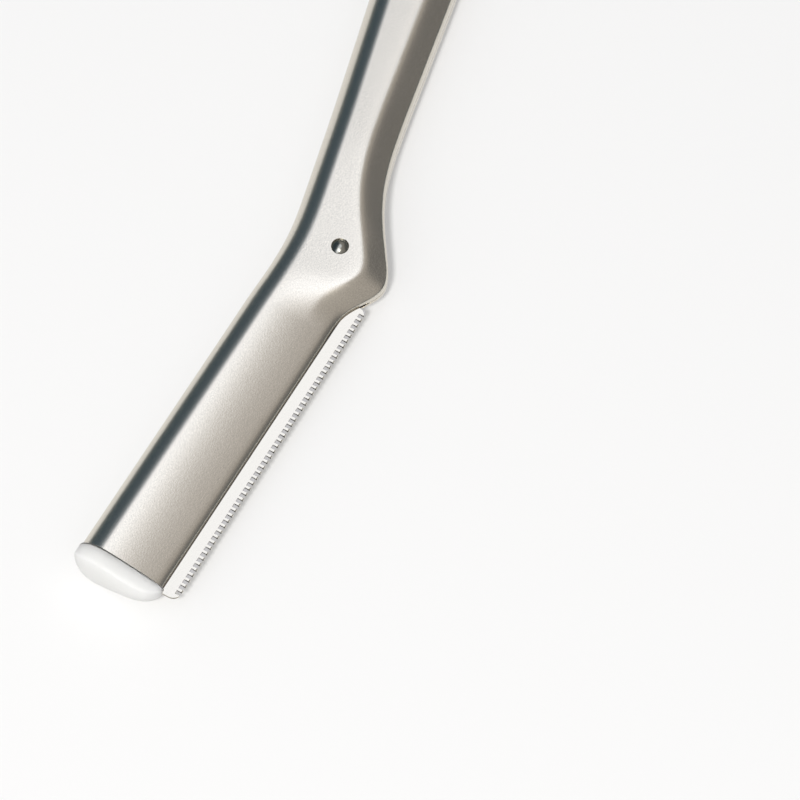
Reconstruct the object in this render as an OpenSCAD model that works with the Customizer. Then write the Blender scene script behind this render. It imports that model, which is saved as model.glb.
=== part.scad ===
// Eyebrow razor: a folded steel sleeve and handle with a blade cartridge that slides out of its tip.
// X runs along the sleeve towards the tip, Y towards the cutting edge, Z up from the rest face.
// The zero point lies on the rest face, under the middle line of the handle.

/* [Sleeve] */
// Distance from the pin to the open end of the sleeve
head_length = 39.3; // [34:0.1:46]
// Width of the sleeve from its spine to its lips
head_width = 8.9; // [7.5:0.1:11]
// Thickness of the sleeve near its spine
head_thickness = 4.2; // [3.4:0.1:4.8]
// Distance from the pin to the spine edge of the sleeve
spine_reach = 5.4; // [4.6:0.1:6.4]
// Thickness of the steel sheet
sheet_thickness = 0.3; // [0.25:0.01:0.36]
// Depth of the rounded fold along the spine of the sleeve
fold_depth = 2.45; // [1.8:0.05:2.9]
// Gap between the two lips that the blade comes through
slot_gap = 0.42; // [0.38:0.02:0.6]
// Radius of the curl at the lips of the sleeve
curl_radius = 0.4; // [0.38:0.01:0.6]
// Straight edge of the sheet below the curl of the lips
lip_edge = 0.04; // [0.02:0.01:0.12]

/* [Handle] */
// Length of the straight part of the handle
handle_length = 97; // [70:1:125]
// Narrowest width of the handle behind the neck
handle_width = 7.3; // [6.5:0.1:9]
// Thickness of the handle between its two flat faces
handle_thickness = 5.3; // [4.6:0.1:6]
// Angle between the sleeve and the handle
bend_angle = 13.5; // [6:0.5:20]
// Distance from the pin to the middle of the bend
bend_offset = 3.5; // [1:0.1:6]
// Length of the bend on each side of its middle
bend_reach = 7; // [5:0.1:9]
// Extra width of the handle at its widest place
handle_flare = 1.4; // [0.4:0.1:2]
// Width of the bevel beside the seam of the handle
bevel_width = 2.4; // [2:0.1:3]
// Height that the bevel of the handle comes down to at its edge
wall_height = 1.55; // [1.2:0.05:1.8]
// Radius between the bevel and the side wall of the handle
handle_curl_radius = 0.8; // [0.5:0.05:1.1]
// Depth of the rounded fold along the spine of the handle
handle_fold_depth = 2.2; // [1.8:0.05:2.6]
// Gap left at the seam where the two edges of the sheet meet
seam_gap = 0.08; // [0.04:0.01:0.2]

/* [Neck] */
// Rise of the belly beyond the line of the lips
belly_rise = 2.95; // [2:0.05:3.6]
// Length over which the outline of the sleeve turns into the handle
neck_span = 22; // [18:0.5:26]
// Distance from the pin to the closed end of the slot
slot_end = 3.6; // [3.2:0.1:4]
// Radius of the rounded end of the slot
slot_end_radius = 0.6; // [0.4:0.05:0.9]

/* [Pin] */
// Diameter of the pin through the neck
pin_diameter = 1.7; // [1.3:0.05:2.1]
// Height of the dome on each end of the pin
pin_dome = 0.32; // [0.2:0.02:0.45]
// Clearance around the pin in the sheet
pin_clearance = 0.06; // [0.02:0.01:0.1]
// Outer diameter of the spacer bush on the pin
bush_diameter = 3; // [2.6:0.1:3.4]
// Depth of the broken edge around each pin hole
hole_chamfer = 0.12; // [0.06:0.01:0.18]

/* [Cartridge] */
// Clearance between the cartridge and the inside of the sleeve
slide_clearance = 0.1; // [0.06:0.01:0.16]
// Length of the end cap beyond the sleeve
cap_length = 1.9; // [1.4:0.05:2.4]
// Overhang of the end cap beyond the outside of the sleeve
cap_overhang = 0.16; // [0:0.02:0.2]
// Radius of the rounded rim of the end cap
cap_round = 0.3; // [0.2:0.05:0.5]
// Height of the dome on the face of the end cap
cap_dome = 0.06; // [0.02:0.02:0.3]
// Thickness of each prong of the fork around the bush
prong_width = 1.1; // [0.8:0.05:1.4]
// Length of the prongs behind the middle of the pin
prong_reach = 1.7; // [1.2:0.1:2]
// Clearance between the fork and the bush
fork_clearance = 0.05; // [0.03:0.01:0.08]
// Diameter of the stakes that hold the two halves together
stake_diameter = 1.1; // [0.9:0.05:1.3]
// Distance between neighbouring stakes
stake_pitch = 13; // [10:0.5:15]
// Clearance in the stake holes and between the two halves
stake_clearance = 0.03; // [0.02:0.01:0.05]

/* [Blade] */
// Length of the blade
blade_length = 35.8; // [32:0.1:36.2]
// Thickness of the blade
blade_thickness = 0.1; // [0.08:0.01:0.12]
// Length of the blade and guard beyond the sleeve
blade_overhang = 0.4; // [0.2:0.05:0.7]
// Distance from the lips to the outer edge of the guard
guard_exposure = 1.8; // [1.4:0.05:2.4]
// Depth of the blade inside the cartridge
blade_depth = 4.6; // [3.8:0.1:5.2]
// Width of the ground bevel on the cutting edge
ground_width = 0.45; // [0.3:0.05:0.6]

/* [Guard] */
// Thickness of the folded guard foil
foil_thickness = 0.08; // [0.05:0.01:0.1]
// Width of the guard foil on each face of the blade
foil_width = 2.75; // [2.4:0.05:3.2]
// Radius of the rounded corners of the guard
guard_corner = 0.9; // [0.5:0.05:1.2]
// Number of windows along the cutting edge
window_count = 53; // [30:1:60]
// Share of the pitch taken by one window
window_share = 0.64; // [0.5:0.01:0.75]
// Depth of the windows from the fold
window_depth = 0.56; // [0.4:0.02:0.8]
// Length of plain foil at each end of the windows
window_margin = 0.45; // [0.3:0.05:1.5]

/* [Tail] */
// Length of the tail plug outside the handle
plug_cap = 1.4; // [1:0.1:2]
// Length of the tail plug inside the handle
plug_depth = 7; // [4:0.5:10]
// Clearance between the tail plug and the sheet
plug_clearance = 0.03; // [0.02:0.01:0.06]

/* [Hidden] */
$fn = 48;
// Smallest overlap that joins two bodies of one piece
joint = 0.01;
// Middle plane of the razor above the rest face
mid = handle_thickness / 2;
// Clearance between the blade and the foil around it
foil_clearance = blade_thickness * 0.1;
// Radius of the fold of the guard, outside and inside
fold_inner = blade_thickness / 2 + foil_clearance;
fold_outer = fold_inner + foil_thickness;
// Sleeve edges measured from its middle line
half_width = head_width / 2;
middle_y = half_width - spine_reach;
lip_y = middle_y + half_width;
guard_y = lip_y + guard_exposure;
// Bend of the middle line
bend_radius = bend_reach / tan(bend_angle / 2);
bend_start = head_length - bend_offset - bend_reach;
bend_length = bend_radius * bend_angle * PI / 180;
handle_start = bend_start + bend_length;
tail_at = handle_start + handle_length;
// Neck outline, as distance along the middle line from the open end
neck_start = head_length - 0.42 * neck_span;
neck_end = neck_start + neck_span;
slot_stop = head_length - slot_end;
// Zero point on the middle line of the handle
zero_at = handle_start + 0.2 * handle_length;

// Rise of the belly along the neck, as shares of the neck and of the rise
belly_shares = [
    [0, 0], [0.06, 0.01], [0.11, 0.05], [0.155, 0.14], [0.195, 0.31],
    [0.23, 0.52], [0.265, 0.74], [0.305, 0.93], [0.345, 1], [0.395, 0.93],
    [0.47, 0.7], [0.56, 0.44], [0.66, 0.23], [0.76, 0.09], [0.87, 0.02], [1, 0]
];
// Narrowing of the spine side along the neck
spine_shares = [
    [0, 0], [0.1, 0.12], [0.16, 0.26], [0.277, 0.55], [0.41, 0.83],
    [0.52, 0.95], [0.66, 1], [1, 1]
];
// Widening of the handle from the neck to the tail
flare_shares = [[0, 0], [0.1, 0.28], [0.25, 0.75], [0.42, 1], [0.65, 0.92], [1, 0.6]];
// Places of the rings along the neck
neck_shares = [
    0, 0.05, 0.09, 0.13, 0.165, 0.2, 0.235, 0.27, 0.305, 0.34, 0.38, 0.42, 0.46,
    0.5, 0.54, 0.58, 0.62, 0.66, 0.7, 0.75, 0.8, 0.86, 0.93, 1
];
// Places of the rings along the straight handle
handle_shares = [0.06, 0.12, 0.18, 0.25, 0.33, 0.42, 0.52, 0.63, 0.74, 0.87, 1];
// Places of the rings around the end of the slot
slot_shares = [0, 0.35, 0.65, 0.88, 1];
// Share of the bevel's fall that comes from its bow, and the power of the sleeve's fall
bow_share = 0.1;
fall_share = 1.4;
// Share of the neck where the bevel starts, and the share that it takes to form
roll_start_share = 0.03;
roll_share = 0.25;
// Share of the neck where the side wall starts to rise, and the share that it takes
wall_start_share = 0.2;
wall_share = 0.35;
// Share of the handle's width and of its flare on the spine side of the middle line
spine_share = 0.49;
spine_flare_share = 0.3;
// Softness of the crease in the neck and on the handle, and where it turns crisp
neck_soft_share = 0.1;
handle_soft_share = 0.02;
crisp_start_share = 0.34;
crisp_share = 0.2;
// How far the face of the end cap falls back at the spine and at the lips, and how late it does
cap_bow_shares = [0.3, 0.6];
cap_bow_power_share = 5;
// Places of the points round the curl, across the bevel and across the flat
curl_shares = [0.28, 0.55, 0.8];
bevel_shares = [1, 0.7, 0.4, 0.14];
flat_shares = [1, 0.86, 0.6, 0.3];
// Turns of the rounded rim of a cap
rim_shares = [0, 0.3, 0.6, 0.85, 1];

function mix(a, b, t) = a + (b - a) * t;
function limit(t) = max(0, min(1, t));
function ease(t) = limit(t) * limit(t) * (3 - 2 * limit(t));

// Smooth curve through a table of points
function slope(p, i) = i == 0 || i == len(p) - 1 ? 0
    : (p[i + 1][1] - p[i - 1][1]) / (p[i + 1][0] - p[i - 1][0]);
function span_index(p, t, i = 0) = i >= len(p) - 2 || t <= p[i + 1][0] ? i : span_index(p, t, i + 1);
function span_value(p, i, t) =
    let (w = p[i + 1][0] - p[i][0], u = limit((t - p[i][0]) / w))
    p[i][1] * (2 * u * u * u - 3 * u * u + 1)
    + p[i + 1][1] * (3 * u * u - 2 * u * u * u)
    + slope(p, i) * w * (u * u * u - 2 * u * u + u)
    + slope(p, i + 1) * w * (u * u * u - u * u);
function curve(p, t) = span_value(p, span_index(p, limit(t)), limit(t));

// Heading and place of the middle line, measured from the pin
function heading(s) = limit((s - bend_start) / bend_length) * bend_angle;
function bent(s) =
    let (a = heading(s))
    [head_length - bend_start - bend_radius * sin(a), middle_y - bend_radius * (1 - cos(a))];
function place(s) =
    s <= bend_start ? [head_length - s, middle_y]
    : let (l = max(0, s - handle_start), a = heading(s))
    bent(s) - l * [cos(a), sin(a)];

// How far the section has changed from the sleeve to the handle, and how soft its crease is
function neck_share(s) = limit((s - neck_start) / neck_span);
function change(s) = ease((neck_share(s) - roll_start_share) / roll_share);
function softness(s) =
    mix(neck_soft_share, handle_soft_share, ease((neck_share(s) - crisp_start_share) / crisp_share));
function wall_change(s) = ease((neck_share(s) - wall_start_share) / wall_share);
function flare(s) = handle_flare * curve(flare_shares, (s - neck_end) / (tail_at - neck_end));

// Sizes of one section
function spine_side(s) =
    mix(half_width, handle_width * spine_share, curve(spine_shares, neck_share(s)))
    + flare(s) * spine_flare_share;
function blade_side(s) =
    mix(half_width, handle_width * (1 - spine_share), ease(neck_share(s)))
    + belly_rise * curve(belly_shares, neck_share(s)) + flare(s) * (1 - spine_flare_share);
function half_thickness(s) = mix(head_thickness, handle_thickness, ease(neck_share(s))) / 2;
function fold(s) = mix(fold_depth, handle_fold_depth, change(s));
function curl(s) = mix(curl_radius, handle_curl_radius, wall_change(s));
function curl_height(s) =
    mix(slot_gap / 2 + lip_edge, wall_height - handle_curl_radius, wall_change(s));
function gap(s) =
    s <= slot_stop - slot_end_radius ? slot_gap / 2
    : s >= slot_stop ? seam_gap / 2
    : let (u = (s - slot_stop + slot_end_radius) / slot_end_radius)
    mix(seam_gap / 2, slot_gap / 2, sqrt(1 - u * u));

// Slope at which a fall that starts at y runs into the curl, found in a few rounds
function end_slope(s, y, steepness, slope = 10, rounds = 5) =
    rounds == 0 ? slope
    : end_slope(s, y, steepness, rounds = rounds - 1, slope = atan(
        steepness * (half_thickness(s) - curl_height(s) - curl(s) * cos(slope))
        / (blade_side(s) - curl(s) * (1 - sin(slope)) - y)
    ));
function slope_at(s) = mix(
    end_slope(s, fold(s) - spine_side(s), fall_share),
    end_slope(s, blade_side(s) - bevel_width, 1 + bow_share),
    change(s)
);

// Upper half of the outer section, from the lip round to the middle of the fold
function rounded(u, w) = (u + sqrt(u * u + 4 * w * w)) / 2;
function crease(q, c, w) =
    let (low = rounded(-c / (1 - c), w), high = rounded(1, w))
    (rounded((q - c) / (1 - c), w) - low) / (high - low);
function fall(q, c, s) =
    let (u = crease(q, c, softness(s)))
    mix(pow(q, fall_share), mix(u, u * u, bow_share), change(s));
function half_section(s) =
    let (
        b = blade_side(s), r = curl(s), z = curl_height(s), a = slope_at(s),
        top = half_thickness(s), y0 = fold(s) - spine_side(s), y1 = b - r * (1 - sin(a)),
        c = (b - bevel_width - y0) / (y1 - y0)
    )
    [
        [b, gap(s)],
        [b, z],
        for (k = curl_shares) [b - r + r * cos(k * (90 - a)), z + r * sin(k * (90 - a))],
        for (q = concat([for (k = bevel_shares) mix(c, 1, k)], c * flat_shares))
            [mix(y0, y1, q), mix(top, z + r * cos(a), fall(q, c, s))],
        for (t = [90, 72, 54, 36, 18]) [fold(s) * (1 - cos(t)) - spine_side(s), top * sin(t)],
        [-spine_side(s), 0]
    ];

// The same half section moved inwards along its normals
function turn(v) = [-v[1], v[0]] / norm(v);
function inward(p, i) =
    i <= 1 ? [-1, 0]
    : i == len(p) - 1 ? [1, 0]
    : turn(p[i + 1] - p[i - 1]);
function inset_half(s, d) =
    let (p = half_section(s))
    [for (i = [0 : len(p) - 1]) p[i] + d * inward(p, i)];
function without_lips(p) = [for (i = [1 : len(p) - 2]) p[i]];
function shrunk(s, d) =
    let (fy = 1 - d / half_width, fz = 1 - d / half_thickness(s))
    [for (p = without_lips(closed_section(s, 0))) [p[0] * fy, p[1] * fz]];
function mirrored(h) = [for (i = [len(h) - 2 : -1 : 0]) [h[i][0], -h[i][1]]];
function closed_section(s, d) = let (h = inset_half(s, d)) concat(h, mirrored(h));
function reversed(p) = [for (i = [len(p) - 1 : -1 : 0]) p[i]];

// Ring of the sheet: outer skin from lip to lip, then the inner skin back
function sheet_ring(s) =
    concat(closed_section(s, 0), reversed(closed_section(s, sheet_thickness)));
function to_space(p, s) =
    let (a = heading(s), c = place(s))
    [for (q = p) [c[0] - q[0] * sin(a), c[1] + q[0] * cos(a), q[1]]];

stations = concat(
    [0],
    [for (u = neck_shares) if (neck_start + u * neck_span < slot_stop - slot_end_radius * 1.3)
        neck_start + u * neck_span],
    [for (u = slot_shares) slot_stop - slot_end_radius * (1 - u)],
    [for (u = neck_shares) if (neck_start + u * neck_span > slot_stop + slot_end_radius * 0.3)
        neck_start + u * neck_span],
    [for (u = handle_shares) mix(neck_end, tail_at, u)]
);

// Strips that close the end of a ring whose second half runs back along its first half
function lid(n) = [
    for (i = [0 : floor((n - 1) / 2) - 1])
        i + 1 < n - 2 - i ? [i, i + 1, n - 2 - i, n - 1 - i] : [i, i + 1, n - 1 - i]
];

// Solid through a list of rings that all have the same number of points
module loft(rings) {
    n = len(rings[0]);
    m = len(rings);
    polyhedron(
        points = [for (r = rings) for (p = r) p],
        faces = concat(
            lid(n),
            [for (j = [0 : m - 2]) for (i = [0 : n - 1])
                [j * n + i, (j + 1) * n + i, (j + 1) * n + (i + 1) % n]],
            [for (j = [0 : m - 2]) for (i = [0 : n - 1])
                [j * n + i, (j + 1) * n + (i + 1) % n, j * n + (i + 1) % n]],
            [for (f = lid(n)) [for (i = reversed(f)) (m - 1) * n + i]]
        ),
        convexity = 8
    );
}

// Moves a piece drawn around the pin and the middle plane into the shared frame
module set_down() {
    zero = place(zero_at);
    translate([-zero[0], -zero[1], mid]) children();
}

// Draws a flat profile of Y and Z and pulls it along X
module along_x(x0, x1) {
    translate([x0, 0, 0])
        rotate([90, 0, 90])
            linear_extrude(height = x1 - x0) children();
}

pin_radius = pin_diameter / 2;
bush_radius = bush_diameter / 2;
hole_radius = pin_radius + pin_clearance;
// Distance of the pin from the middle line of the sheet, towards the blade
pin_at = head_length;
pin_offset = place(pin_at) * [sin(heading(pin_at)), -cos(heading(pin_at))];
// Height of the outer skin of one section at a distance from its middle line
function skin_at(s, o) = let (p = half_section(s)) lookup(o, [for (i = [5 : len(p) - 4]) p[i]]);
skin = skin_at(pin_at, pin_offset);

// Folded sheet that forms the sleeve, the neck and the handle in one piece
module handle_shell() {
    color("silver")
    set_down()
    difference() {
        loft([for (s = reversed(stations)) to_space(sheet_ring(s), s)]);
        translate([0, 0, -handle_thickness])
            cylinder(r = hole_radius, h = 2 * handle_thickness);
        for (side = [0, 1])
            mirror([0, 0, side])
                translate([0, 0, skin - hole_chamfer])
                    cylinder(r1 = hole_radius, r2 = hole_radius + 3 * hole_chamfer, h = 3 * hole_chamfer);
    }
}

// Headed pin that closes the neck
pin_top = skin - hole_chamfer * 0.3;
dome_radius = (pin_radius * pin_radius + pin_dome * pin_dome) / (2 * pin_dome);
module neck_pin() {
    color("gainsboro")
    set_down() {
        translate([0, 0, pin_dome - pin_top])
            cylinder(r = pin_radius, h = 2 * (pin_top - pin_dome));
        for (side = [0, 1])
            mirror([0, 0, side])
                intersection() {
                    translate([0, 0, pin_top - pin_dome - joint])
                        cylinder(r = pin_radius, h = pin_dome + 2 * joint);
                    translate([0, 0, pin_top - dome_radius])
                        sphere(r = dome_radius);
                }
    }
}

// Spacer that keeps the two walls apart at the pin
bush_skin = min([for (i = [-1, 0, 1]) skin_at(pin_at + i * bush_radius, pin_offset + bush_radius)]);
bush_half = bush_skin - sheet_thickness - pin_clearance;
module spacer_bush() {
    color("silver")
    set_down()
    difference() {
        translate([0, 0, -bush_half])
            cylinder(r = bush_radius, h = 2 * bush_half);
        translate([0, 0, -bush_half - joint])
            cylinder(r = pin_radius + pin_clearance / 2, h = 2 * bush_half + 2 * joint);
    }
}

// Places along the sleeve, measured from the pin
cap_base = head_length + stake_clearance;
cap_root = cap_base + 0.3 * cap_length;
body_start = bush_radius + fork_clearance + 0.2 * prong_width;
blade_tip = head_length + blade_overhang;
blade_heel = blade_tip - blade_length;
foil_y = guard_y - foil_width;
edge_y = guard_y - fold_outer;
blade_back = foil_y - blade_depth + (guard_y - lip_y);
fork_height = head_thickness / 2 - sheet_thickness - 2 * slide_clearance;
stake_y = mix(blade_back, foil_y, 0.42);
stake_x = [for (i = [-1, 0, 1]) mix(blade_heel, blade_tip, 0.5) + i * stake_pitch];

// Filled inside of the sleeve, less the running clearance
module cartridge_profile() {
    inset = sheet_thickness + slide_clearance;
    polygon([for (p = closed_section(0, inset)) p + [middle_y, 0]]);
}

// Room for the blade and the folded foil between the two halves
module blade_room() {
    translate([blade_back - stake_clearance, -fold_inner])
        square([guard_y - blade_back, 2 * fold_inner]);
    translate([foil_y - stake_clearance, -fold_outer - stake_clearance / 2])
        square([foil_width + guard_exposure, 2 * fold_outer + stake_clearance]);
}

module half_profile(upper) {
    difference() {
        intersection() {
            cartridge_profile();
            translate([-head_width, upper ? stake_clearance / 2 : -head_thickness])
                square([2 * head_width, head_thickness - (upper ? 0 : stake_clearance / 2)]);
        }
        blade_room();
    }
}

// Share of the end cap's length that is left at a distance from its middle
function cap_left(y) = 1 - cap_bow_shares[y < 0 ? 0 : 1] * pow(abs(y) / half_width, cap_bow_power_share);

// Frosted end cap with a rounded rim, bowed from edge to edge
module end_cap() {
    rim = [for (k = rim_shares) [
        cap_round * (1 - cos(90 * k)),
        cap_length - cap_dome - cap_round * (1 - sin(90 * k))
    ]];
    face = [for (k = [0.35, 0.65, 0.85]) [
        cap_round + (head_thickness / 2 - cap_round) * k,
        cap_length - cap_dome * (1 - k) * (1 - k)
    ]];
    loft([for (q = concat([[0, 0]], rim, face)) [
        for (p = shrunk(0, q[0] - cap_overhang))
            [cap_base + q[1] * max(0, cap_left(p[0])), p[0] + middle_y, p[1]]
    ]]);
}

// Lower half of the cartridge, with the end cap and the fork round the bush
module blade_carrier() {
    color("whitesmoke")
    set_down()
    difference() {
        union() {
            along_x(body_start, cap_root) half_profile(false);
            along_x(cap_base - 0.5 * cap_length, cap_root)
                difference() {
                    cartridge_profile();
                    blade_room();
                }
            end_cap();
            along_x(-prong_reach, body_start + prong_width)
                intersection() {
                    half_profile(false);
                    for (side = [0, 1])
                        mirror([side, 0])
                            translate([bush_radius + fork_clearance, -head_thickness])
                                square([prong_width, 2 * head_thickness]);
                }
            for (x = stake_x)
                translate([x, stake_y, -fork_height / 2])
                    cylinder(d = stake_diameter, h = fork_height / 2 + stake_top);
        }
        translate([0, 0, -head_thickness])
            cylinder(r = bush_radius + fork_clearance, h = 2 * head_thickness);
        along_x(cap_base - cap_length, blade_tip + stake_clearance) blade_room();
    }
}
stake_skin = skin_at(0, stake_y - middle_y + stake_diameter / 2);
stake_top = stake_skin - sheet_thickness - 2 * slide_clearance;

// Upper half of the cartridge, held on the stakes
module carrier_clamp() {
    color("white")
    set_down()
    difference() {
        along_x(body_start, cap_base - 0.5 * cap_length - stake_clearance) half_profile(true);
        for (x = stake_x)
            translate([x, stake_y, -head_thickness])
                cylinder(d = stake_diameter + 2 * stake_clearance, h = 2 * head_thickness);
        translate([0, 0, -head_thickness])
            cylinder(r = bush_radius + fork_clearance, h = 2 * head_thickness);
    }
}

// Blade with one ground edge
module blade() {
    color("lightgray")
    set_down()
    difference() {
        along_x(blade_heel, blade_tip - guard_corner)
            polygon([
                [blade_back, -blade_thickness / 2],
                [edge_y - ground_width, -blade_thickness / 2],
                [edge_y, 0],
                [edge_y - ground_width, blade_thickness / 2],
                [blade_back, blade_thickness / 2]
            ]);
        for (x = stake_x)
            translate([x, stake_y, -head_thickness])
                cylinder(d = stake_diameter + 2 * stake_clearance, h = 2 * head_thickness);
    }
}

// Outline of the guard seen from above, with two rounded outer corners
module guard_outline() {
    r = guard_corner;
    translate([blade_heel, foil_y])
        square([blade_length, foil_width - r]);
    translate([blade_heel + r, foil_y])
        square([blade_length - 2 * r, foil_width + joint]);
    for (x = [blade_heel + r, blade_tip - r])
        translate([x, guard_y - r]) circle(r = r);
}

// Thin foil folded over the cutting edge, with a row of windows in the fold
module guard_foil() {
    run = blade_length - 2 * window_margin;
    pitch = run / window_count;
    color("gainsboro")
    set_down()
    difference() {
        intersection() {
            along_x(blade_heel, blade_tip)
                difference() {
                    union() {
                        translate([foil_y, -fold_outer])
                            square([foil_width - fold_outer, 2 * fold_outer]);
                        translate([guard_y - fold_outer, 0]) circle(r = fold_outer);
                    }
                    translate([foil_y - joint, -fold_inner])
                        square([foil_width - fold_outer + joint, 2 * fold_inner]);
                    translate([guard_y - fold_outer, 0]) circle(r = fold_inner);
                }
            translate([0, 0, -fold_outer - joint])
                linear_extrude(height = 2 * (fold_outer + joint)) guard_outline();
        }
        for (i = [0 : window_count - 1])
            translate([
                blade_heel + window_margin + pitch * (i + 0.5 - window_share / 2),
                guard_y - window_depth,
                -2 * fold_outer
            ])
                cube([pitch * window_share, 2 * window_depth, 4 * fold_outer]);
    }
}

// Plug that closes the tail of the handle
plug_inset = sheet_thickness + plug_clearance;
module tail_plug() {
    rim = [for (k = rim_shares) [
        cap_round * (1 - cos(90 * k)),
        plug_cap - cap_round * (1 - sin(90 * k))
    ]];
    color("whitesmoke")
    set_down()
    union() {
        loft([
            for (q = reversed(concat([[0, stake_clearance]], rim)))
                to_space(shrunk(tail_at, q[0]), tail_at + q[1])
        ]);
        loft([
            for (l = [0.5 * plug_cap, -plug_depth])
                to_space(without_lips(closed_section(tail_at, plug_inset)), tail_at + l)
        ]);
    }
}

handle_shell();
neck_pin();
spacer_bush();
blade_carrier();
carrier_clamp();
blade();
guard_foil();
tail_plug();
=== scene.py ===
import bpy
import bmesh
import math
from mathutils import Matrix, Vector


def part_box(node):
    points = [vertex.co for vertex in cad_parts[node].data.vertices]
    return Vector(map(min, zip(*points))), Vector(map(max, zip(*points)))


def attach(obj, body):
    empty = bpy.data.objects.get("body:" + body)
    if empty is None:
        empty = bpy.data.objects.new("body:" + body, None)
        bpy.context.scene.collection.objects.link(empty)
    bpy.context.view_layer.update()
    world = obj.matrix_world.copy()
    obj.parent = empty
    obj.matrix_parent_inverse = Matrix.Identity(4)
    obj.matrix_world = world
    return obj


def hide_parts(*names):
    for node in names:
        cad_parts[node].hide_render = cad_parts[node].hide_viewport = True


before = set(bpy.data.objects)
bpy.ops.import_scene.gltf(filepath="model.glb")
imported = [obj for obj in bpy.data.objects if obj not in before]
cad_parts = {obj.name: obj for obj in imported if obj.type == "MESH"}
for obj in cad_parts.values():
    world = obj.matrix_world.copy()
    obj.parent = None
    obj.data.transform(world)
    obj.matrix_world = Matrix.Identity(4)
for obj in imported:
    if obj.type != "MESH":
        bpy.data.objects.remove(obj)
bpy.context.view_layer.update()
MM = 0.001

# The photographer's table: a pale sheet under the razor, a soft strip of light
# overhead that runs along the sleeve, one small overhead lamp, and a camera
# that looks down from beyond the tip.
scene = bpy.context.scene
scene.view_settings.view_transform = "Standard"

camera_data = bpy.data.cameras.new("table_camera")
camera_data.sensor_fit = "HORIZONTAL"
camera_data.angle = math.radians(8.4728)
camera_data.clip_start = 0.01
camera_data.clip_end = 20
camera = bpy.data.objects.new("table_camera", camera_data)
camera.location = (0.246505, 0.134379, 0.458640)
camera.rotation_euler = [math.radians(a) for a in (27.98872, -0.82901, 119.73724)]
scene.collection.objects.link(camera)
scene.camera = camera


def put(tree, value, socket):
    """Links an output to a socket, or sets the socket to a plain value."""
    if isinstance(value, bpy.types.NodeSocket):
        tree.links.new(value, socket)
    else:
        socket.default_value = value


def spread(tree, value, start, end, low=0.0, high=1.0, smooth=False):
    """Goes from low to high while a value goes from start to end."""
    node = tree.nodes.new("ShaderNodeMapRange")
    node.interpolation_type = "SMOOTHSTEP" if smooth else "LINEAR"
    for key, given in (("Value", value), ("From Min", start), ("From Max", end),
                       ("To Min", low), ("To Max", high)):
        put(tree, given, node.inputs[key])
    return node.outputs[0]


def blend(tree, factor, a, b, kind="MIX"):
    """Mixes two colours."""
    node = tree.nodes.new("ShaderNodeMix")
    node.data_type = "RGBA"
    node.blend_type = kind
    for key, given in (("Factor", factor), ("A", a), ("B", b)):
        put(tree, given, node.inputs[key])
    return node.outputs["Result"]


def reckon(tree, operation, *values):
    """Result of one sum on numbers or outputs."""
    node = tree.nodes.new("ShaderNodeMath")
    node.operation = operation
    for given, socket in zip(values, node.inputs):
        put(tree, given, socket)
    return node.outputs[0]


def along(tree, vector, axis):
    """Share of a vector that points along an axis."""
    node = tree.nodes.new("ShaderNodeVectorMath")
    node.operation = "DOT_PRODUCT"
    put(tree, vector, node.inputs[0])
    put(tree, axis, node.inputs[1])
    return node.outputs["Value"]


def bounce_ramp(tree, value, stops):
    """Colour ramp over a value, with stops of place and colour."""
    ramp = tree.nodes.new("ShaderNodeValToRGB")
    points = ramp.color_ramp.elements
    while len(points) > 1:
        points.remove(points[-1])
    points[0].position = stops[0][0]
    points[0].color = (*stops[0][1], 1)
    for place, colour in stops[1:]:
        points.new(place).color = (*colour, 1)
    put(tree, value, ramp.inputs["Fac"])
    return ramp.outputs["Color"]


# STRIP runs across the strip of light, from the spine side (0) to the blade
# side (1). Its colours are shares of the full light, which is STRIP_GAIN.
STRIP_GAIN = 2.3
STRIP = [
    (0.200, (0.024, 0.037, 0.049)), (0.285, (0.032, 0.049, 0.062)), (0.310, (0.066, 0.087, 0.109)),
    (0.335, (0.172, 0.200, 0.245)), (0.362, (0.630, 0.650, 0.710)), (0.390, (0.770, 0.783, 0.840)),
    (0.430, (0.605, 0.630, 0.695)), (0.480, (0.800, 0.848, 0.940)), (0.525, (0.700, 0.715, 0.770)),
    (0.560, (0.500, 0.498, 0.518)), (0.590, (0.348, 0.339, 0.337)), (0.620, (0.238, 0.226, 0.217)),
    (0.650, (0.197, 0.187, 0.177)), (0.680, (0.205, 0.195, 0.184)), (1.000, (0.208, 0.197, 0.186)),
]
# The strip ends on a slanted line, beyond which the light is even
STRIP_LIMIT, LIMIT_START, LIMIT_END = (-1, 0.4, 0), 0.42, 0.52
EVEN_LIGHT = (0.211, 0.200, 0.190, 1)
# Towards the far corner on the blade side the light drops to a share of itself
CORNERWISE = (-math.sqrt(0.5), math.sqrt(0.5), 0)
CORNER = [
    (0.815, (1.0, 1.0, 1.0)), (0.855, (0.78, 0.78, 0.78)), (0.885, (0.46, 0.47, 0.49)),
    (0.905, (0.31, 0.33, 0.36)), (0.925, (0.31, 0.33, 0.36)), (0.950, (0.52, 0.52, 0.52)),
]
# Towards the horizon the strip fades into the dim walls of the room
WALL_LIGHT, WALL_TOP, STRIP_FOOT = (0.043, 0.054, 0.057, 1), 0.10, 0.45
# What is not metal is lit by an even room with a paler wall beyond the tip
ROOM_LIGHT, FRONT_LIGHT = (0.145, 0.145, 0.146, 1), (0.310, 0.310, 0.304, 1)
FRONT_START, FRONT_END = 0.15, 0.6
PAPER = (0.955, 0.955, 0.955, 1)

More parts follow.
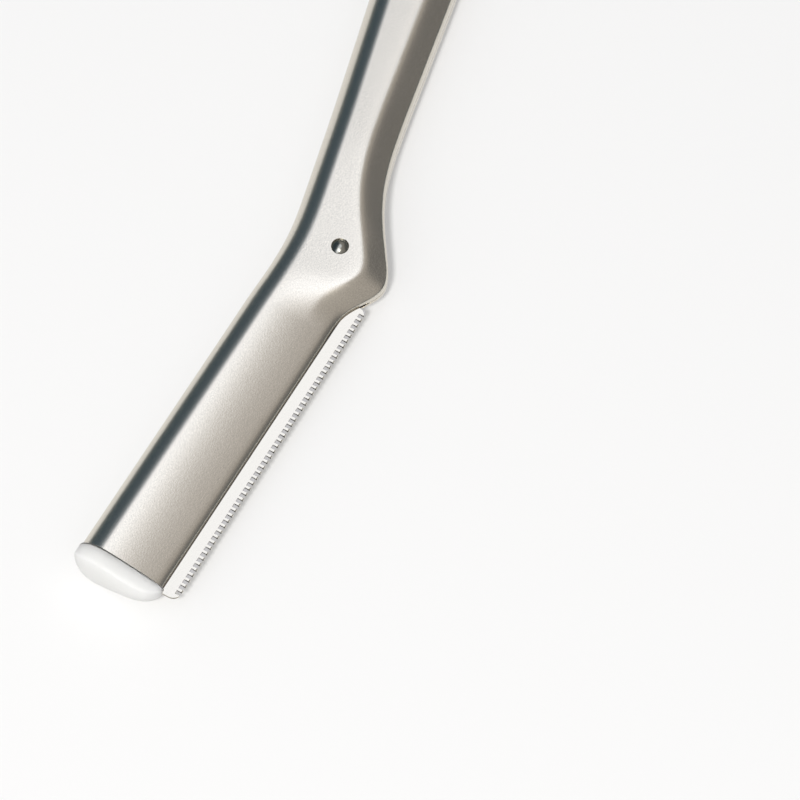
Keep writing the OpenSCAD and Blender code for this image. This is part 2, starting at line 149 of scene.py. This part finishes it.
studio = bpy.data.worlds.new("studio")
studio.use_nodes = True
tree = studio.node_tree
tree.nodes.clear()
direction = tree.nodes.new("ShaderNodeTexCoord").outputs["Generated"]
split = tree.nodes.new("ShaderNodeSeparateXYZ")
put(tree, direction, split.inputs[0])
strip = bounce_ramp(tree, spread(tree, split.outputs["Y"], -1, 1), STRIP)
beyond = spread(tree, along(tree, direction, STRIP_LIMIT), LIMIT_START, LIMIT_END, smooth=True)
even = blend(tree, beyond, strip, EVEN_LIGHT)
corner = bounce_ramp(tree, spread(tree, along(tree, direction, CORNERWISE), -1, 1), CORNER)
ended = blend(tree, 1, even, corner, kind="MULTIPLY")
walls = blend(tree, spread(tree, split.outputs["Z"], WALL_TOP, STRIP_FOOT, smooth=True), WALL_LIGHT, ended)
front = spread(tree, split.outputs["X"], FRONT_START, FRONT_END, smooth=True)
room = blend(tree, front, ROOM_LIGHT, FRONT_LIGHT)
seen = tree.nodes.new("ShaderNodeLightPath")
light = blend(tree, seen.outputs["Is Diffuse Ray"], walls, room)
glow = tree.nodes.new("ShaderNodeBackground")
glow.inputs["Strength"].default_value = STRIP_GAIN
put(tree, light, glow.inputs["Color"])
paper = tree.nodes.new("ShaderNodeBackground")
paper.inputs["Color"].default_value = PAPER
choose = tree.nodes.new("ShaderNodeMixShader")
put(tree, seen.outputs["Is Camera Ray"], choose.inputs["Fac"])
put(tree, glow.outputs[0], choose.inputs[1])
put(tree, paper.outputs[0], choose.inputs[2])
world_out = tree.nodes.new("ShaderNodeOutputWorld")
put(tree, choose.outputs[0], world_out.inputs["Surface"])
scene.world = studio

lamp_data = bpy.data.lights.new("overhead_lamp", "AREA")
lamp_data.shape = "DISK"
lamp_data.size = 0.13
lamp_data.energy = 4.8
lamp_data.color = (1.0, 0.985, 0.96)
lamp = bpy.data.objects.new("overhead_lamp", lamp_data)
LAMP_DISTANCE = 0.9
lamp_place = Vector((0.53, 0.115, 0.84)).normalized()
lamp.location = lamp_place * LAMP_DISTANCE
lamp.rotation_euler = lamp_place.to_track_quat("Z", "Y").to_euler()
scene.collection.objects.link(lamp)

TABLE_REACH = 1.6
table_mesh = bpy.data.meshes.new("pale_table")
bm = bmesh.new()
bmesh.ops.create_grid(bm, x_segments=1, y_segments=1, size=TABLE_REACH)
bm.to_mesh(table_mesh)
bm.free()
table = bpy.data.objects.new("pale_table", table_mesh)
scene.collection.objects.link(table)
table_paint = bpy.data.materials.new("pale_table")
table_paint.use_nodes = True
tree = table_paint.node_tree
tree.nodes.clear()
matt = tree.nodes.new("ShaderNodeBsdfDiffuse")
matt.inputs["Color"].default_value = (0.66, 0.66, 0.66, 1)
# The camera and the mirroring steel see the paper a little lighter than it lights the razor
PAPER_LIFT = 0.27
seen = tree.nodes.new("ShaderNodeLightPath").outputs
direct = reckon(tree, "MAXIMUM", seen["Is Camera Ray"], seen["Is Glossy Ray"])
direct = reckon(tree, "MAXIMUM", direct, seen["Is Transmission Ray"])
lift = tree.nodes.new("ShaderNodeEmission")
put(tree, reckon(tree, "MULTIPLY", direct, PAPER_LIFT), lift.inputs["Strength"])
both = tree.nodes.new("ShaderNodeAddShader")
put(tree, matt.outputs[0], both.inputs[0])
put(tree, lift.outputs[0], both.inputs[1])
table_out = tree.nodes.new("ShaderNodeOutputMaterial")
put(tree, both.outputs[0], table_out.inputs["Surface"])
table_mesh.materials.append(table_paint)

# handle_shell: one sheet of stainless steel, folded along the spine and drawn
# into sleeve, neck and handle. Its two cut edges meet in the seam, and part in
# the sleeve to let the blade through. The surface is a fine blasted satin.
HEAD_LENGTH, HEAD_WIDTH, HEAD_THICKNESS, SPINE_REACH = 39.3, 8.9, 4.2, 5.4
SHEET, HEAD_FOLD, SLOT_GAP, LIP_EDGE, HEAD_CURL = 0.3, 2.45, 0.42, 0.04, 0.4
HANDLE_LENGTH, HANDLE_WIDTH, HANDLE_THICKNESS = 97.0, 7.3, 5.3
BEND_ANGLE, BEND_OFFSET, BEND_REACH = math.radians(13.5), 3.5, 7.0
HANDLE_FLARE, BEVEL_WIDTH, WALL_HEIGHT, SEAM_GAP = 1.4, 2.4, 1.55, 0.08
NECK_BEFORE_PIN, ORIGIN_SHARE = 0.42, 0.2
HANDLE_CURL, HANDLE_FOLD, SPINE_SHARE, SPINE_FLARE = 0.8, 2.4, 0.49, 0.3
BELLY_RISE, NECK_SPAN, SLOT_END, SLOT_END_RADIUS = 2.95, 22.0, 3.6, 0.6
BOW, FALL, ROLL_START, ROLL_SPAN, WALL_START, WALL_SPAN = 0.1, 1.4, 0.03, 0.25, 0.2, 0.35
NECK_SOFT, HANDLE_SOFT, CRISP_START, CRISP_SPAN = 0.1, 0.085, 0.34, 0.2
PIN_RADIUS, PIN_CLEARANCE, HOLE_CHAMFER, DRILL_CONE = 0.85, 0.01, 0.02, 0.3
LIP_ROLL, LIP_DROP, EDGE_BREAK = 0.75, 0.17, 0.03
BELLY = [
    (0, 0), (0.06, 0.01), (0.11, 0.05), (0.155, 0.14), (0.195, 0.31), (0.23, 0.52),
    (0.265, 0.74), (0.305, 0.93), (0.345, 1), (0.395, 0.93), (0.47, 0.7), (0.56, 0.44),
    (0.66, 0.23), (0.76, 0.09), (0.87, 0.02), (1, 0),
]
SPINE = [(0, 0), (0.1, 0.12), (0.16, 0.26), (0.277, 0.55), (0.41, 0.83), (0.52, 0.95), (0.66, 1), (1, 1)]
FLARE = [(0, 0), (0.1, 0.28), (0.25, 0.75), (0.42, 1), (0.65, 0.92), (1, 0.6)]

MID = HANDLE_THICKNESS / 2
HALF_WIDTH = HEAD_WIDTH / 2
MIDDLE_Y = HALF_WIDTH - SPINE_REACH
BEND_RADIUS = BEND_REACH / math.tan(BEND_ANGLE / 2)
BEND_START = HEAD_LENGTH - BEND_OFFSET - BEND_REACH
HANDLE_START = BEND_START + BEND_RADIUS * BEND_ANGLE
TAIL_AT = HANDLE_START + HANDLE_LENGTH
NECK_START = HEAD_LENGTH - NECK_BEFORE_PIN * NECK_SPAN
NECK_END = NECK_START + NECK_SPAN
SLOT_STOP = HEAD_LENGTH - SLOT_END


def mix(a, b, t):
    """Value at share t of the way from a to b."""
    return a + (b - a) * t


def limit(t):
    """Number kept between 0 and 1."""
    return min(1.0, max(0.0, t))


def ease(t):
    """Goes from 0 to 1 with a level start and end."""
    t = limit(t)
    return t * t * (3 - 2 * t)


def curve(points, t):
    """Smooth value of a table of places and values."""
    t = limit(t)
    i = 0
    while i < len(points) - 2 and t > points[i + 1][0]:
        i += 1

    def slope(k):
        if k in (0, len(points) - 1):
            return 0
        return (points[k + 1][1] - points[k - 1][1]) / (points[k + 1][0] - points[k - 1][0])

    w = points[i + 1][0] - points[i][0]
    u = (t - points[i][0]) / w
    return (points[i][1] * (2 * u**3 - 3 * u**2 + 1) + points[i + 1][1] * (3 * u**2 - 2 * u**3)
            + slope(i) * w * (u**3 - 2 * u**2 + u) + slope(i + 1) * w * (u**3 - u**2))


def heading(s):
    """Angle of the middle line at s from the open end."""
    return limit((s - BEND_START) / (HANDLE_START - BEND_START)) * BEND_ANGLE


def from_pin(s):
    """Place of the middle line at s from the open end, measured from the pin."""
    if s <= BEND_START:
        return Vector((HEAD_LENGTH - s, MIDDLE_Y))
    a = heading(s)
    bend = Vector((HEAD_LENGTH - BEND_START - BEND_RADIUS * math.sin(a),
                   MIDDLE_Y - BEND_RADIUS * (1 - math.cos(a))))
    return bend - max(0, s - HANDLE_START) * Vector((math.cos(a), math.sin(a)))


ZERO = from_pin(HANDLE_START + ORIGIN_SHARE * HANDLE_LENGTH)


def neck_share(s):
    """How far along the neck a place is, from 0 to 1."""
    return limit((s - NECK_START) / NECK_SPAN)


def flare(s):
    """How much wider the handle is here than just behind the neck."""
    return HANDLE_FLARE * curve(FLARE, (s - NECK_END) / (TAIL_AT - NECK_END))


def rounded(u, w):
    """Zero below zero and u above it, with a bend of width w between them."""
    return (u + math.sqrt(u * u + 4 * w * w)) / 2


def half_section(s):
    """Outer skin from the cut edge over the curl, the bevel and the flat to the middle of the fold."""
    n = neck_share(s)
    change = ease((n - ROLL_START) / ROLL_SPAN)
    wall_change = ease((n - WALL_START) / WALL_SPAN)
    spine = mix(HALF_WIDTH, HANDLE_WIDTH * SPINE_SHARE, curve(SPINE, n)) + flare(s) * SPINE_FLARE
    blade = (mix(HALF_WIDTH, HANDLE_WIDTH * (1 - SPINE_SHARE), ease(n)) + BELLY_RISE * curve(BELLY, n)
             + flare(s) * (1 - SPINE_FLARE))
    top = mix(HEAD_THICKNESS, HANDLE_THICKNESS, ease(n)) / 2
    fold = mix(HEAD_FOLD, HANDLE_FOLD, change)
    r = mix(HEAD_CURL, HANDLE_CURL, wall_change)
    z = mix(SLOT_GAP / 2 + LIP_EDGE, WALL_HEIGHT - HANDLE_CURL, wall_change)
    if s <= SLOT_STOP - SLOT_END_RADIUS:
        gap = SLOT_GAP / 2
    elif s >= SLOT_STOP:
        gap = SEAM_GAP / 2
    else:
        u = (s - SLOT_STOP + SLOT_END_RADIUS) / SLOT_END_RADIUS
        gap = mix(SEAM_GAP / 2, SLOT_GAP / 2, math.sqrt(1 - u * u))
    y0 = fold - spine

    # The end of the fall runs into the curl at one slope, found in a few rounds
    drop = LIP_DROP * (1 - change)
    tilt = math.radians(20)
    for _ in range(8):
        fallen = top - z - r * math.cos(tilt)
        y1 = blade - r * (1 - math.sin(tilt))
        tilt = math.atan(mix(FALL * (fallen - drop) / (y1 - y0) + 3 * drop / LIP_ROLL,
                             (1 + BOW) * fallen / (y1 - blade + BEVEL_WIDTH), change))
    c = (blade - BEVEL_WIDTH - y0) / (y1 - y0)
    soft = mix(NECK_SOFT, HANDLE_SOFT, ease((n - CRISP_START) / CRISP_SPAN))
    low, high = rounded(-c / (1 - c), soft), rounded(1, soft)

    def skin(q):
        u = (rounded((q - c) / (1 - c), soft) - low) / (high - low)
        fall = mix(max(0, q) ** FALL, mix(u, u * u, BOW), change)
        y = mix(y0, y1, q)
        turn = max(0, (y - y1) / LIP_ROLL + 1) ** 3
        return (y, mix(top, z + r * math.cos(tilt) + drop, fall) - drop * turn)

    turns = [(math.pi / 2 - tilt) * k / 10 for k in range(10)]
    points = [(blade, gap), (blade, mix(gap, z, 0.5))]
    points += [(blade - r + r * math.cos(t), z + r * math.sin(t)) for t in turns]
    bevel = [1, 0.95, 0.89, 0.82, 0.74, 0.64, 0.52, 0.4, 0.3, 0.22, 0.15, 0.1, 0.06, 0.03, 0.01]
    flat = [1, 0.99, 0.97, 0.94, 0.9, 0.84, 0.76, 0.66, 0.56, 0.46, 0.36, 0.26, 0.16, 0.08, 0.03]
    points += [skin(mix(c, 1, k)) for k in bevel] + [skin(c * k) for k in flat]
    points += [(fold * (1 - math.cos(math.radians(t))) - spine, top * math.sin(math.radians(t)))
               for t in [90 - 4.5 * k for k in range(21)]]
    return points


def ring(section, s):
    """Both halves of a section, placed on the middle line and drawn in metres."""
    both = section + [(y, -z) for y, z in reversed(section[:-1])]
    a = heading(s)
    centre = from_pin(s) - ZERO
    return [Vector((centre.x - y * math.sin(a), centre.y + y * math.cos(a), MID + z)) * MM
            for y, z in both]


def draw_out(bm, rings, closed=False):
    """Extrudes a row of edges from ring to ring, and sets each new row on the next section."""
    def pairs(row):
        return zip(row, row[1:] + row[:1] if closed else row[1:])

    first = row = [bm.verts.new(p) for p in rings[0]]
    edges = [bm.edges.new(p) for p in pairs(row)]
    for points in rings[1:]:
        grown = bmesh.ops.extrude_edge_only(bm, edges=edges)["geom"]
        fresh = {v for v in grown if isinstance(v, bmesh.types.BMVert)}
        row = [next(e.other_vert(v) for e in v.link_edges if e.other_vert(v) in fresh) for v in row]
        for v, p in zip(row, points):
            v.co = p
        edges = [bm.edges.get(p) for p in pairs(row)]
    return first, row


def soften(mesh, sharp=35):
    """Shades a mesh softly, except where it turns by more than an angle."""
    mesh.shade_smooth()
    mesh.set_sharp_from_angle(angle=math.radians(sharp))


def finished(name, bm, material, sharp=35):
    """Object of a mesh, softly shaded up to an angle."""
    mesh = bpy.data.meshes.new(name)
    bm.to_mesh(mesh)
    bm.free()
    soften(mesh, sharp)
    mesh.materials.append(material)
    piece = bpy.data.objects.new(name, mesh)
    scene.collection.objects.link(piece)
    return piece


def apply_modifiers(piece):
    """Gives a piece the mesh that its modifiers make, and takes them off."""
    graph = bpy.context.evaluated_depsgraph_get()
    mesh = bpy.data.meshes.new_from_object(piece.evaluated_get(graph))
    piece.modifiers.clear()
    mesh.name = piece.name
    piece.data = mesh
    soften(mesh)


# Grain that every blasted, moulded or polished surface shares: fine pits and a slow cloudiness
PIT_HEIGHT, CLOUD_SCALE = 0.02 * MM, 160


def build_grain():
    """Group that varies a colour and a roughness, and pits the surface."""
    group = bpy.data.node_groups.new("fine_grain", "ShaderNodeTree")
    face = group.interface
    for name, kind, value in (("Color", "NodeSocketColor", (0.6, 0.6, 0.6, 1)),
                              ("Roughness", "NodeSocketFloat", 0.3), ("Speckle", "NodeSocketFloat", 0.1),
                              ("Cloud", "NodeSocketFloat", 0.05), ("Pit Depth", "NodeSocketFloat", 0.1),
                              ("Pit Scale", "NodeSocketFloat", 9000.0)):
        socket = face.new_socket(name, in_out="INPUT", socket_type=kind)
        socket.default_value = value
    face.new_socket("Color", in_out="OUTPUT", socket_type="NodeSocketColor")
    face.new_socket("Roughness", in_out="OUTPUT", socket_type="NodeSocketFloat")
    face.new_socket("Normal", in_out="OUTPUT", socket_type="NodeSocketVector")
    nodes = group.nodes
    given = nodes.new("NodeGroupInput").outputs
    out = nodes.new("NodeGroupOutput").inputs
    where = nodes.new("ShaderNodeTexCoord").outputs["Object"]
    pits = nodes.new("ShaderNodeTexNoise")
    pits.inputs["Detail"].default_value = 2
    put(group, given["Pit Scale"], pits.inputs["Scale"])
    cloud = nodes.new("ShaderNodeTexNoise")
    cloud.inputs["Scale"].default_value = CLOUD_SCALE
    cloud.inputs["Detail"].default_value = 3

    def swing(noise, amount):
        """Noise around one: 1 + (noise - 0.5) * 2 * amount."""
        put(group, where, noise.inputs["Vector"])
        centred = spread(group, noise.outputs["Fac"], 0, 1, low=-1)
        return reckon(group, "MULTIPLY_ADD", centred, given[amount], 1)

    clouded = swing(cloud, "Cloud")
    tint = reckon(group, "MULTIPLY", swing(pits, "Speckle"), clouded)
    painted = nodes.new("ShaderNodeVectorMath")
    painted.operation = "SCALE"
    put(group, given["Color"], painted.inputs[0])
    put(group, tint, painted.inputs["Scale"])
    put(group, painted.outputs[0], out["Color"])
    put(group, reckon(group, "MULTIPLY", given["Roughness"], clouded), out["Roughness"])
    bump = nodes.new("ShaderNodeBump")
    bump.inputs["Distance"].default_value = PIT_HEIGHT
    put(group, given["Pit Depth"], bump.inputs["Strength"])
    put(group, pits.outputs["Fac"], bump.inputs["Height"])
    put(group, bump.outputs["Normal"], out["Normal"])
    return group


FINE_GRAIN = build_grain()


def grained(name, colour, roughness, speckle, cloud, depth, scale, metallic=0.0):
    """Material whose colour, roughness and normal come from the grain."""
    material = bpy.data.materials.new(name)
    material.use_nodes = True
    tree = material.node_tree
    shader = tree.nodes["Principled BSDF"]
    shader.inputs["Metallic"].default_value = metallic
    grain = tree.nodes.new("ShaderNodeGroup")
    grain.name = "grain"
    grain.node_tree = FINE_GRAIN
    grain.inputs["Color"].default_value = (*colour, 1)
    for key, value in (("Roughness", roughness), ("Speckle", speckle), ("Cloud", cloud),
                       ("Pit Depth", depth), ("Pit Scale", scale)):
        grain.inputs[key].default_value = value
    for key, socket in (("Color", "Base Color"), ("Roughness", "Roughness"), ("Normal", "Normal")):
        put(tree, grain.outputs[key], shader.inputs[socket])
    return material


def repaint(node, material):
    """Gives a solid that is shown as it is its own material."""
    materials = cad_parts[node].data.materials
    materials.clear()
    materials.append(material)


satin_steel = grained("satin_steel", (0.68, 0.64, 0.565), 0.26, 0.17, 0.03, 0.27, 7200, metallic=1.0)

# Stations of the sections: even along the sleeve, the neck and the handle, and
# close together where the slot ends in a rounded corner
SLEEVE_STEPS, NECK_STEPS, HANDLE_STEPS, MOUTH_STEP = 8, 62, 30, 0.06
SLOT_CORNER = (0, 0.15, 0.3, 0.45, 0.6, 0.72, 0.82, 0.9, 0.955, 0.985, 1)
CLEAR_BEFORE, CLEAR_AFTER = 1.1 * SLOT_END_RADIUS, 0.1
stations = [0.0, MOUTH_STEP] + [NECK_START * k / SLEEVE_STEPS for k in range(1, SLEEVE_STEPS + 1)]
stations += [s for s in (NECK_START + NECK_SPAN * k / NECK_STEPS for k in range(1, NECK_STEPS + 1))
             if not SLOT_STOP - CLEAR_BEFORE < s < SLOT_STOP + CLEAR_AFTER]
stations += [SLOT_STOP - SLOT_END_RADIUS * (1 - u) for u in SLOT_CORNER]
stations += [mix(NECK_END, TAIL_AT, k / HANDLE_STEPS) for k in range(1, HANDLE_STEPS + 1)]
stations.sort()
bm = bmesh.new()
draw_out(bm, [ring(half_section(s), s) for s in stations])
bmesh.ops.recalc_face_normals(bm, faces=bm.faces)
top_face = max(bm.faces, key=lambda f: f.calc_center_median().z)
if top_face.normal.z < 0:
    bmesh.ops.reverse_faces(bm, faces=bm.faces)
handle_shell = finished("handle_shell_sheet", bm, satin_steel)
wall = handle_shell.modifiers.new("sheet", "SOLIDIFY")
wall.thickness = SHEET * MM
wall.offset = -1
wall.use_even_offset = True
broken = handle_shell.modifiers.new("broken_edge", "BEVEL")
broken.width = EDGE_BREAK * MM
broken.segments = 2
broken.limit_method = "ANGLE"
broken.angle_limit = math.radians(60)
apply_modifiers(handle_shell)


TURN_STEPS = 96


def turned(profile):
    """Solid turned round the pin's axis from (radius, height) points in millimetres."""
    bm = bmesh.new()
    row = [bm.verts.new((-ZERO.x * MM + r * MM, -ZERO.y * MM, (MID + z) * MM)) for r, z in profile]
    edges = [bm.edges.new(pair) for pair in zip(row, row[1:])]
    bmesh.ops.spin(bm, geom=row + edges, cent=(-ZERO.x * MM, -ZERO.y * MM, 0), axis=(0, 0, 1),
                   angle=2 * math.pi, steps=TURN_STEPS, use_merge=True)
    bmesh.ops.remove_doubles(bm, verts=bm.verts, dist=1e-7)
    bmesh.ops.recalc_face_normals(bm, faces=bm.faces)
    return bm


def skin_height(s, offset):
    """Height of the upper skin above the middle plane, at an offset from the middle line."""
    section = half_section(s)
    flat_end = section[0][0] - HANDLE_CURL
    upper = [point for point in section if point[0] < flat_end and point[1] > HANDLE_CURL]
    return min(upper, key=lambda point: abs(point[0] - offset))[1]


pin_heading = heading(HEAD_LENGTH)
pin_offset = from_pin(HEAD_LENGTH).dot(Vector((math.sin(pin_heading), -math.cos(pin_heading))))
PIN_SKIN = skin_height(HEAD_LENGTH, pin_offset)
hole = PIN_RADIUS + PIN_CLEARANCE
cone_top, drill_end = -PIN_SKIN - DRILL_CONE + HOLE_CHAMFER, -MID * 1.2
drill = [(0, drill_end), (hole + DRILL_CONE, drill_end), (hole + DRILL_CONE, cone_top),
         (hole, cone_top + DRILL_CONE)]
drill += [(r, -z) for r, z in reversed(drill)]
drill_tool = finished("drill_tool", turned(drill), satin_steel)
cut = handle_shell.modifiers.new("pin_hole", "BOOLEAN")
cut.operation = "DIFFERENCE"
cut.object = drill_tool
cut.solver = "EXACT"
apply_modifiers(handle_shell)
bpy.data.objects.remove(drill_tool)
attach(handle_shell, "handle")
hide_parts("handle_shell")

# neck_pin: a plain steel pin through the neck, with a polished dome on each
# end that stands a little proud of the skin.
PIN_DOME, PIN_PROUD = 0.42, 0.31
dark_polish = grained("dark_polish", (0.34, 0.335, 0.30), 0.24, 0.05, 0.05, 0.12, 4000, metallic=1.0)
pin_top = PIN_SKIN + PIN_PROUD
dome = (PIN_RADIUS**2 + PIN_DOME**2) / (2 * PIN_DOME)
reach = math.asin(PIN_RADIUS / dome)
dome_points = [(dome * math.sin(reach * k / 12), pin_top - dome + dome * math.cos(reach * k / 12))
               for k in range(13)]
pin_profile = [(r, -z) for r, z in dome_points] + dome_points[::-1]
neck_pin = finished("neck_pin_domed", turned(pin_profile), dark_polish)
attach(neck_pin, "handle")
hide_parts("neck_pin")

# spacer_bush: a turned sleeve on the pin, between the two walls of the neck.
turned_steel = grained("turned_steel", (0.62, 0.60, 0.56), 0.3, 0.05, 0.08, 0.2, 5000, metallic=1.0)
repaint("spacer_bush", turned_steel)

# blade_carrier: moulded in frosted, slightly see-through plastic, in one piece
# with the cap that closes the sleeve. The cap stands a little proud of the
# sheet, and its face falls back towards the spine and the lips.
CAP_LENGTH, CAP_ROUND, CAP_DOME, CAP_OVERHANG, CAP_GAP = 1.9, 0.38, 0.1, 0.16, 0.03
CAP_BOW_SPINE, CAP_BOW_LIPS, CAP_BOW_POWER = 0.3, 0.6, 5
PLUG_INSET, GROOVE_INSET, GROOVE_WIDTH, SHOULDER_RISE, CUT_BEYOND = 0.25, 0.2, 0.03, 0.2, 0.02
frosted = grained("frosted_plastic", (0.965, 0.945, 0.895), 0.65, 0.02, 0.03, 0.25, 2600)
for key, value in (("IOR", 1.46), ("Specular IOR Level", 0.12), ("Transmission Weight", 0.12),
                   ("Subsurface Weight", 0.95), ("Subsurface Radius", (0.0020, 0.0020, 0.0020)),
                   ("Subsurface Scale", 1.0)):
    frosted.node_tree.nodes["Principled BSDF"].inputs[key].default_value = value


def cap_ring(inset, out):
    """Ring of the sleeve's section drawn in by an inset, at a distance in front of the open end."""
    section = [(y * (1 - inset / HALF_WIDTH), z * (1 - inset * 2 / HEAD_THICKNESS))
               for y, z in half_section(0)[2:]]
    points = ring(section, 0)
    for p, (y, _) in zip(points, section + section[-2::-1]):
        bow = CAP_BOW_SPINE if y < 0 else CAP_BOW_LIPS
        p.x += (CAP_GAP + out * max(0, 1 - bow * (abs(y) / HALF_WIDTH)**CAP_BOW_POWER)) * MM
    return points


def close_face(bm, row):
    """Closes a ring whose second half mirrors its first with strips across."""
    n = len(row)
    for i in range((n - 1) // 2):
        bm.faces.new([row[i], row[i + 1], row[n - 2 - i], row[n - 1 - i]]
                     if i + 1 < n - 2 - i else [row[i], row[i + 1], row[n - 1 - i]])


carrier = bmesh.new()
carrier.from_mesh(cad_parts["blade_carrier"].data)
bmesh.ops.remove_doubles(carrier, verts=carrier.verts, dist=1e-7)
cap_x = (HEAD_LENGTH + CAP_GAP - ZERO.x) * MM
bmesh.ops.bisect_plane(carrier, geom=carrier.verts[:] + carrier.edges[:] + carrier.faces[:],
                       plane_co=(cap_x + CUT_BEYOND * MM, 0, 0), plane_no=(1, 0, 0), clear_outer=True)
rim = [(CAP_ROUND * (1 - math.cos(math.radians(9 * k))),
        CAP_LENGTH - CAP_DOME - CAP_ROUND * (1 - math.sin(math.radians(9 * k)))) for k in range(11)]
face = [(mix(CAP_ROUND, HEAD_THICKNESS / 2, k / 10), CAP_LENGTH - CAP_DOME * (1 - k / 10)**2)
        for k in range(1, 10)]
shoulder = [(GROOVE_INSET - (GROOVE_INSET + CAP_OVERHANG) * math.sin(math.radians(t)),
             GROOVE_WIDTH + SHOULDER_RISE * (1 - math.cos(math.radians(t))))
            for t in (0, 20, 40, 60, 75, 90)]
cap_rings = [cap_ring(PLUG_INSET, 0)] + [cap_ring(inset, out) for inset, out in shoulder]
cap_rings += [cap_ring(inset - CAP_OVERHANG, out) for inset, out in rim + face]
cap = bmesh.new()
first, last = draw_out(cap, cap_rings, closed=True)
close_face(cap, last)
close_face(cap, first)
bmesh.ops.recalc_face_normals(cap, faces=cap.faces)
cap_mesh = bpy.data.meshes.new("cap")
cap.to_mesh(cap_mesh)
cap.free()
carrier.from_mesh(cap_mesh)
bpy.data.meshes.remove(cap_mesh)
blade_carrier = finished("blade_carrier_moulding", carrier, frosted, sharp=40)
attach(blade_carrier, "cartridge")
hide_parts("blade_carrier")

# carrier_clamp: the upper half of the moulding, pressed down on the stakes.
repaint("carrier_clamp", frosted)

# blade: hardened strip, ground to an edge, with a fine brushed polish.
blade_steel = grained("blade_steel", (0.37, 0.35, 0.325), 0.2, 0.04, 0.03, 0.1, 6000, metallic=1.0)
repaint("blade", blade_steel)

# guard_foil: mirror-bright foil folded over the edge, pierced by a row of
# windows along the fold.
guard_steel = grained("guard_steel", (0.715, 0.680, 0.605), 0.22, 0.02, 0.02, 0.05, 6000, metallic=1.0)
# Painted shade: where the foil enters the slot its colour is darkened to stand for the shadow in the gap
# under the lip, and the punched walls of its windows, which face along the blade, get the same painted
# shade. Its rounded end faces that way too, and is left unshaded.
SLOT_SHADE, SHADE_BLEND, GUARD_END = 0.06, 0.04, 0.45
FOIL_FACING, WALL_FACING = 0.5, 0.7
FOIL_SHADE = (0.05, 0.048, 0.045, 1)
foil_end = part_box("guard_foil")[1][0] - GUARD_END * MM
tree = guard_steel.node_tree
where = tree.nodes.new("ShaderNodeTexCoord").outputs
place, facing = [tree.nodes.new("ShaderNodeSeparateXYZ") for _ in range(2)]
put(tree, where["Object"], place.inputs[0])
put(tree, where["Normal"], facing.inputs[0])
slot_line = HALF_WIDTH + MIDDLE_Y - ZERO.y + SLOT_SHADE
# Mask of the painted slot shade: 0 on the shaded strip by the lip, 1 beyond it
clear = spread(tree, place.outputs["Y"], (slot_line - SHADE_BLEND) * MM, (slot_line + SHADE_BLEND) * MM)
lengthwise = reckon(tree, "ABSOLUTE", facing.outputs["X"])
# Mask of the painted shade on the window walls: 1 off the walls and on the rounded end
no_wall = spread(tree, lengthwise, FOIL_FACING, WALL_FACING, low=1, high=0)
bright = reckon(tree, "MAXIMUM", no_wall, reckon(tree, "GREATER_THAN", place.outputs["X"], foil_end))
steel = tree.nodes["grain"].outputs["Color"]
# Lays the painted shade colour wherever either mask asks for it, and the steel's own colour elsewhere
shown = blend(tree, reckon(tree, "MULTIPLY", clear, bright), FOIL_SHADE, steel)
put(tree, shown, tree.nodes["Principled BSDF"].inputs["Base Color"])
repaint("guard_foil", guard_steel)

# tail_plug: frosted plug that closes the tail and holds the seam together.
repaint("tail_plug", frosted)
